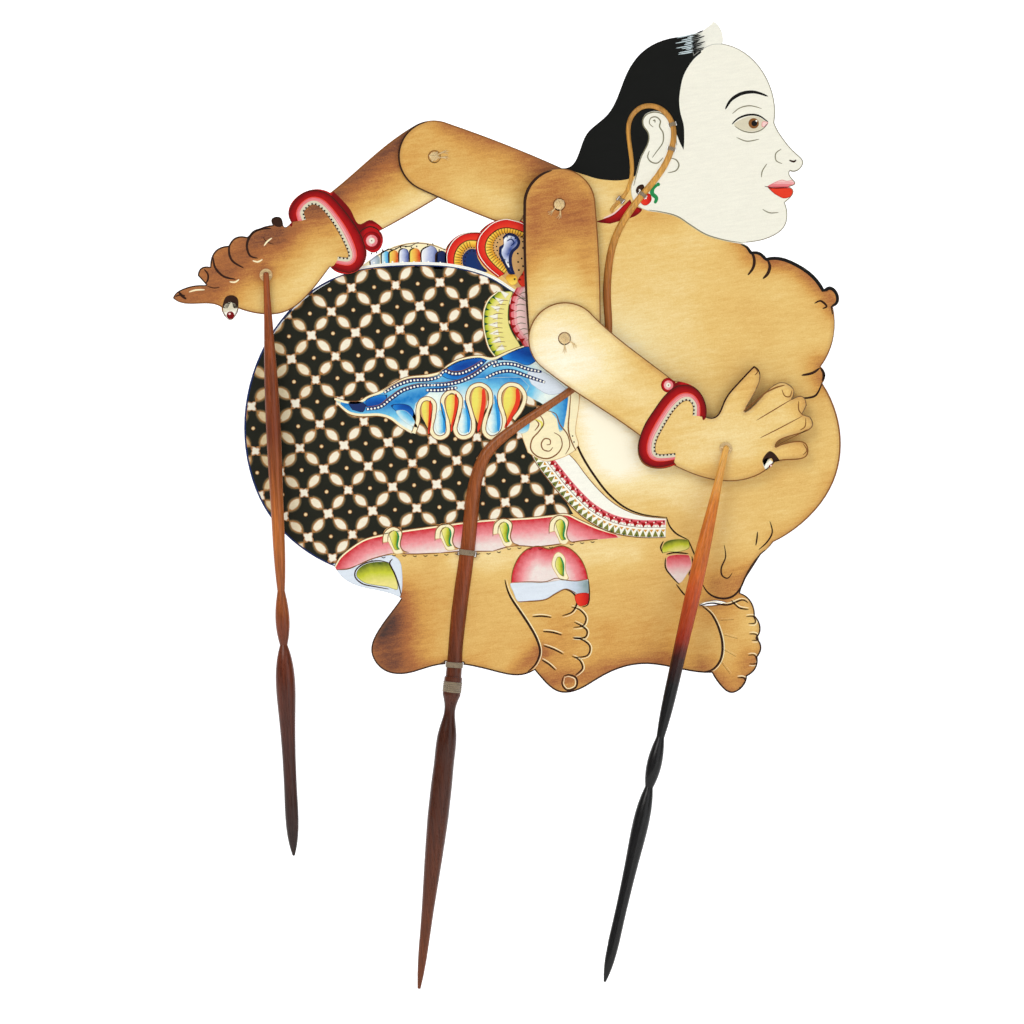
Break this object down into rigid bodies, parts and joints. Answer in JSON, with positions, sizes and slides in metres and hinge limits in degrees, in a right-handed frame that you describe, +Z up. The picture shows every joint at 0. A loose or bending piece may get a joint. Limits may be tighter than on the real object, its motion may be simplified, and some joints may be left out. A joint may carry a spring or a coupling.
{
  "type": "flat leather rod puppet",
  "caption": "Flat hide shadow puppet of a stout retainer, clamped in a split horn rod, with jointed arms worked by a horn rod at each hand.",
  "frame": {"origin": "on the axis of the main rod, in the middle of the round grip of its handle", "axes": "+Z up, +X the way the figure faces, -Y the side that is looked at; the hide lies in the plane y = 0"},
  "size_m": [0.3795, 0.0454, 0.5512],
  "materials": {
    "gilded_hide": "gold leaf and paint on rawhide, satin",
    "plain_hide": "bare scraped rawhide",
    "dark_horn": "polished buffalo horn, red-brown with dark streaks",
    "red_horn": "polished buffalo horn, amber to brown",
    "black_tipped_horn": "polished buffalo horn, amber above and black below",
    "binding_thread": "waxed cotton thread",
    "knot_cord": "twisted cotton cord"
  },
  "bodies": {
    "figure": {"body_sheet": "gilded_hide", "main_rod": "dark_horn", "rod_ties": "binding_thread", "split_whipping": "binding_thread", "shoulder_cord": "knot_cord", "front_shoulder_washer": "plain_hide", "rear_shoulder_washer": "plain_hide"},
    "front_upper_arm": {"front_upper_arm": "gilded_hide", "front_elbow_cord": "knot_cord", "front_elbow_washer": "plain_hide"},
    "front_forearm": {"front_forearm": "gilded_hide"},
    "front_hand_tie": {"front_hand_tie": "knot_cord"},
    "front_hand_rod": {"front_hand_rod": "black_tipped_horn"},
    "rear_upper_arm": {"rear_upper_arm": "gilded_hide", "rear_elbow_cord": "knot_cord", "rear_elbow_washer": "plain_hide"},
    "rear_forearm": {"rear_forearm": "gilded_hide"},
    "rear_hand_tie": {"rear_hand_tie": "knot_cord"},
    "rear_hand_rod": {"rear_hand_rod": "red_horn"}
  },
  "joints": [
    {"name": "front_shoulder", "type": "hinge", "parent": "figure", "child": "front_upper_arm", "pos_m": [0.06811, 0, 0.33977], "axis": [0, -1, 0], "range_deg": [-35, 165]},
    {"name": "front_elbow", "type": "hinge", "parent": "front_upper_arm", "child": "front_forearm", "pos_m": [0.07105, 0, 0.26343], "axis": [0, -1, 0], "range_deg": [-53, 105]},
    {"name": "front_hand_turn", "type": "hinge", "parent": "front_forearm", "child": "front_hand_tie", "pos_m": [0.16258, 0, 0.20099], "axis": [0, -1, 0], "range_deg": [-170, 170]},
    {"name": "front_rod_tilt", "type": "hinge", "parent": "front_hand_tie", "child": "front_hand_rod", "pos_m": [0.16258, -0.01004, 0.20099], "axis": [-0.974, 0, 0.2267], "range_deg": [0, 60]},
    {"name": "rear_shoulder", "type": "hinge", "parent": "figure", "child": "rear_upper_arm", "pos_m": [0.06811, 0, 0.33977], "axis": [0.0837, -0.9965, 0], "range_deg": [-160, 3]},
    {"name": "rear_elbow", "type": "hinge", "parent": "rear_upper_arm", "child": "rear_forearm", "pos_m": [-0.00287, -0.00596, 0.3674], "axis": [-0.0837, 0.9965, 0], "range_deg": [-7, 150]},
    {"name": "rear_hand_turn", "type": "hinge", "parent": "rear_forearm", "child": "rear_hand_tie", "pos_m": [-0.09795, -0.01394, 0.29934], "axis": [0.0837, -0.9965, 0], "range_deg": [-170, 15]},
    {"name": "rear_rod_tilt", "type": "hinge", "parent": "rear_hand_tie", "child": "rear_hand_rod", "pos_m": [-0.0982, -0.01088, 0.29934], "axis": [-0.9954, -0.0836, -0.0471], "range_deg": [0, 60]}
  ]
}
